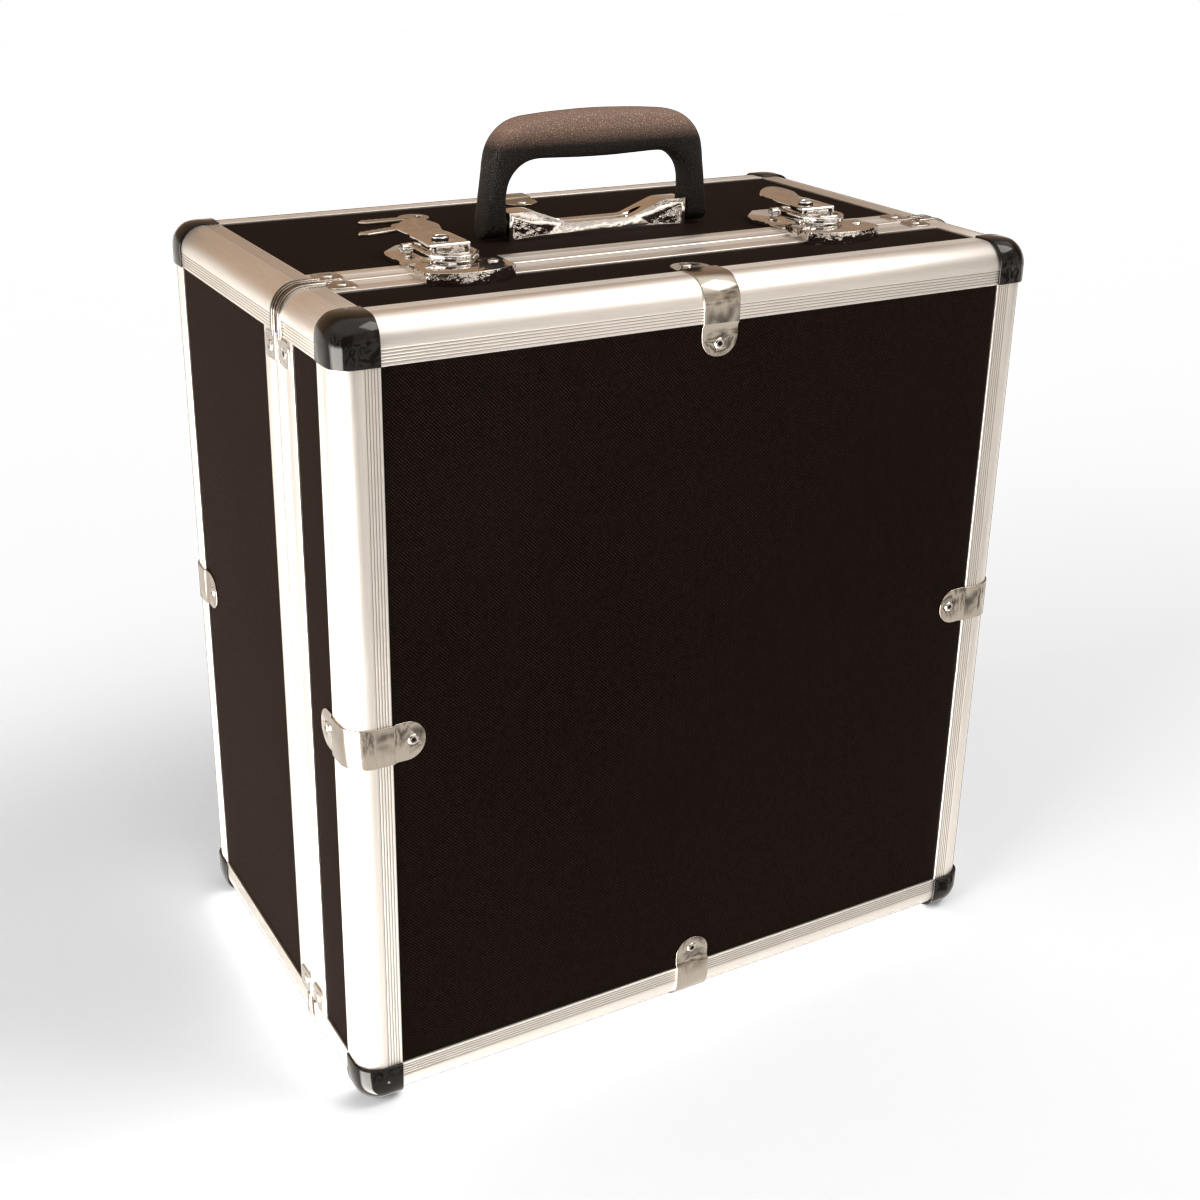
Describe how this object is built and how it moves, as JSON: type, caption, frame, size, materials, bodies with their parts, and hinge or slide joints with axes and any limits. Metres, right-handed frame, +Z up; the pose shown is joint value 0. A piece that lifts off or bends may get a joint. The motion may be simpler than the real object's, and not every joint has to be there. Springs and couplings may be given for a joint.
{
  "type": "accordion case",
  "caption": "Upright hard case with a shallow front lid hinged along its bottom edge, grooved metal edges, a carrying handle and keyed draw latches on top.",
  "frame": {"origin": "on the ground under the middle of the shut case, at the centre of the bounding box's base", "axes": "+Z up through the handle, +X to the right seen from the lid's side, +Y from the lid towards the back"},
  "size_m": [0.4644, 0.2864, 0.5582],
  "materials": {
    "laminate_board": "plywood faced with black textured laminate",
    "anodised_bar": "satin anodised, fine lengthwise grooves",
    "corner_plastic": "glossy moulded black",
    "chrome_brace": "bright plated",
    "strap_steel": "satin nickel plated",
    "rivet_steel": "polished domed heads",
    "handle_plastic": "black, leather-like grain",
    "bracket_steel": "bright plated pressed steel",
    "zinc_steel": "zinc plated",
    "latch_chrome": "bright plated pressed steel",
    "lock_black": "satin black",
    "plug_brass": "dark, worn",
    "key_nickel": "nickel plated, lightly worn",
    "plush_lining": "short black plush over foam"
  },
  "bodies": {
    "case_body": {"body_back_edge_top": "anodised_bar", "body_back_edge_bottom": "anodised_bar", "body_back_edge_left": "anodised_bar", "body_back_edge_right": "anodised_bar", "body_corner_bars": "anodised_bar", "body_rims_top_bottom": "anodised_bar", "body_rims_sides": "anodised_bar", "body_back_panel": "laminate_board", "body_top_panel": "laminate_board", "body_bottom_panel": "laminate_board", "body_left_panel": "laminate_board", "body_right_panel": "laminate_board", "body_corner_caps": "corner_plastic", "body_corner_braces": "chrome_brace", "body_edge_straps": "strap_steel", "body_rivets": "rivet_steel", "body_hinge_leaves": "strap_steel", "hinge_pins": "zinc_steel", "handle_bracket": "bracket_steel", "handle_screws": "zinc_steel", "handle_backing_plate": "zinc_steel", "handle_pivot_pins": "zinc_steel", "left_latch_base": "latch_chrome", "right_latch_base": "latch_chrome", "latch_lever_pins": "zinc_steel", "body_back_lining": "plush_lining", "body_side_lining": "plush_lining", "keys": "key_nickel"},
    "lid": {"lid_front_edge_top": "anodised_bar", "lid_front_edge_bottom": "anodised_bar", "lid_front_edge_left": "anodised_bar", "lid_front_edge_right": "anodised_bar", "lid_corner_bars": "anodised_bar", "lid_rims_top_bottom": "anodised_bar", "lid_rims_sides": "anodised_bar", "lid_front_panel": "laminate_board", "lid_top_panel": "laminate_board", "lid_bottom_panel": "laminate_board", "lid_left_panel": "laminate_board", "lid_right_panel": "laminate_board", "lid_corner_caps": "corner_plastic", "lid_corner_braces": "chrome_brace", "lid_edge_straps": "strap_steel", "lid_rivets": "rivet_steel", "lid_hinge_leaves": "strap_steel", "latch_keepers": "latch_chrome", "lid_front_lining": "plush_lining", "lid_side_lining": "plush_lining"},
    "handle": {"handle_grip": "handle_plastic"},
    "left_lever": {"left_latch_lever": "latch_chrome", "left_lock_body": "lock_black", "left_bail_pins": "zinc_steel"},
    "right_lever": {"right_latch_lever": "latch_chrome", "right_lock_body": "lock_black", "right_bail_pins": "zinc_steel"},
    "left_bail": {"left_latch_bail": "latch_chrome"},
    "right_bail": {"right_latch_bail": "latch_chrome"},
    "left_plug": {"left_lock_plug": "plug_brass"},
    "right_plug": {"right_lock_plug": "plug_brass"}
  },
  "joints": [
    {"name": "lid_hinge", "type": "hinge", "parent": "case_body", "child": "lid", "pos_m": [0, -0.058, 0.0022], "axis": [1, 0, 0], "range_deg": [0, 100]},
    {"name": "handle_pivot", "type": "hinge", "parent": "case_body", "child": "handle", "pos_m": [0, 0.006, 0.4932], "axis": [1, 0, 0], "range_deg": [-80, 80]},
    {"name": "left_lever_pivot", "type": "hinge", "parent": "case_body", "child": "left_lever", "pos_m": [-0.127, -0.052, 0.4932], "axis": [1, 0, 0], "range_deg": [0, 110]},
    {"name": "left_bail_pivot", "type": "hinge", "parent": "left_lever", "child": "left_bail", "pos_m": [-0.127, -0.032, 0.4924], "axis": [1, 0, 0], "range_deg": [-88, 0]},
    {"name": "left_lock_turn", "type": "hinge", "parent": "left_lever", "child": "left_plug", "pos_m": [-0.127, -0.043, 0.4932], "axis": [0, 0, -1], "range_deg": [0, 90]},
    {"name": "right_lever_pivot", "type": "hinge", "parent": "case_body", "child": "right_lever", "pos_m": [0.127, -0.052, 0.4932], "axis": [1, 0, 0], "range_deg": [0, 110]},
    {"name": "right_bail_pivot", "type": "hinge", "parent": "right_lever", "child": "right_bail", "pos_m": [0.127, -0.032, 0.4924], "axis": [1, 0, 0], "range_deg": [-88, 0]},
    {"name": "right_lock_turn", "type": "hinge", "parent": "right_lever", "child": "right_plug", "pos_m": [0.127, -0.043, 0.4932], "axis": [0, 0, -1], "range_deg": [0, 90]}
  ],
  "couplings": [
    {"joint": "left_bail_pivot", "follows": "left_lever_pivot", "ratio": -0.8},
    {"joint": "right_bail_pivot", "follows": "right_lever_pivot", "ratio": -0.8}
  ]
}
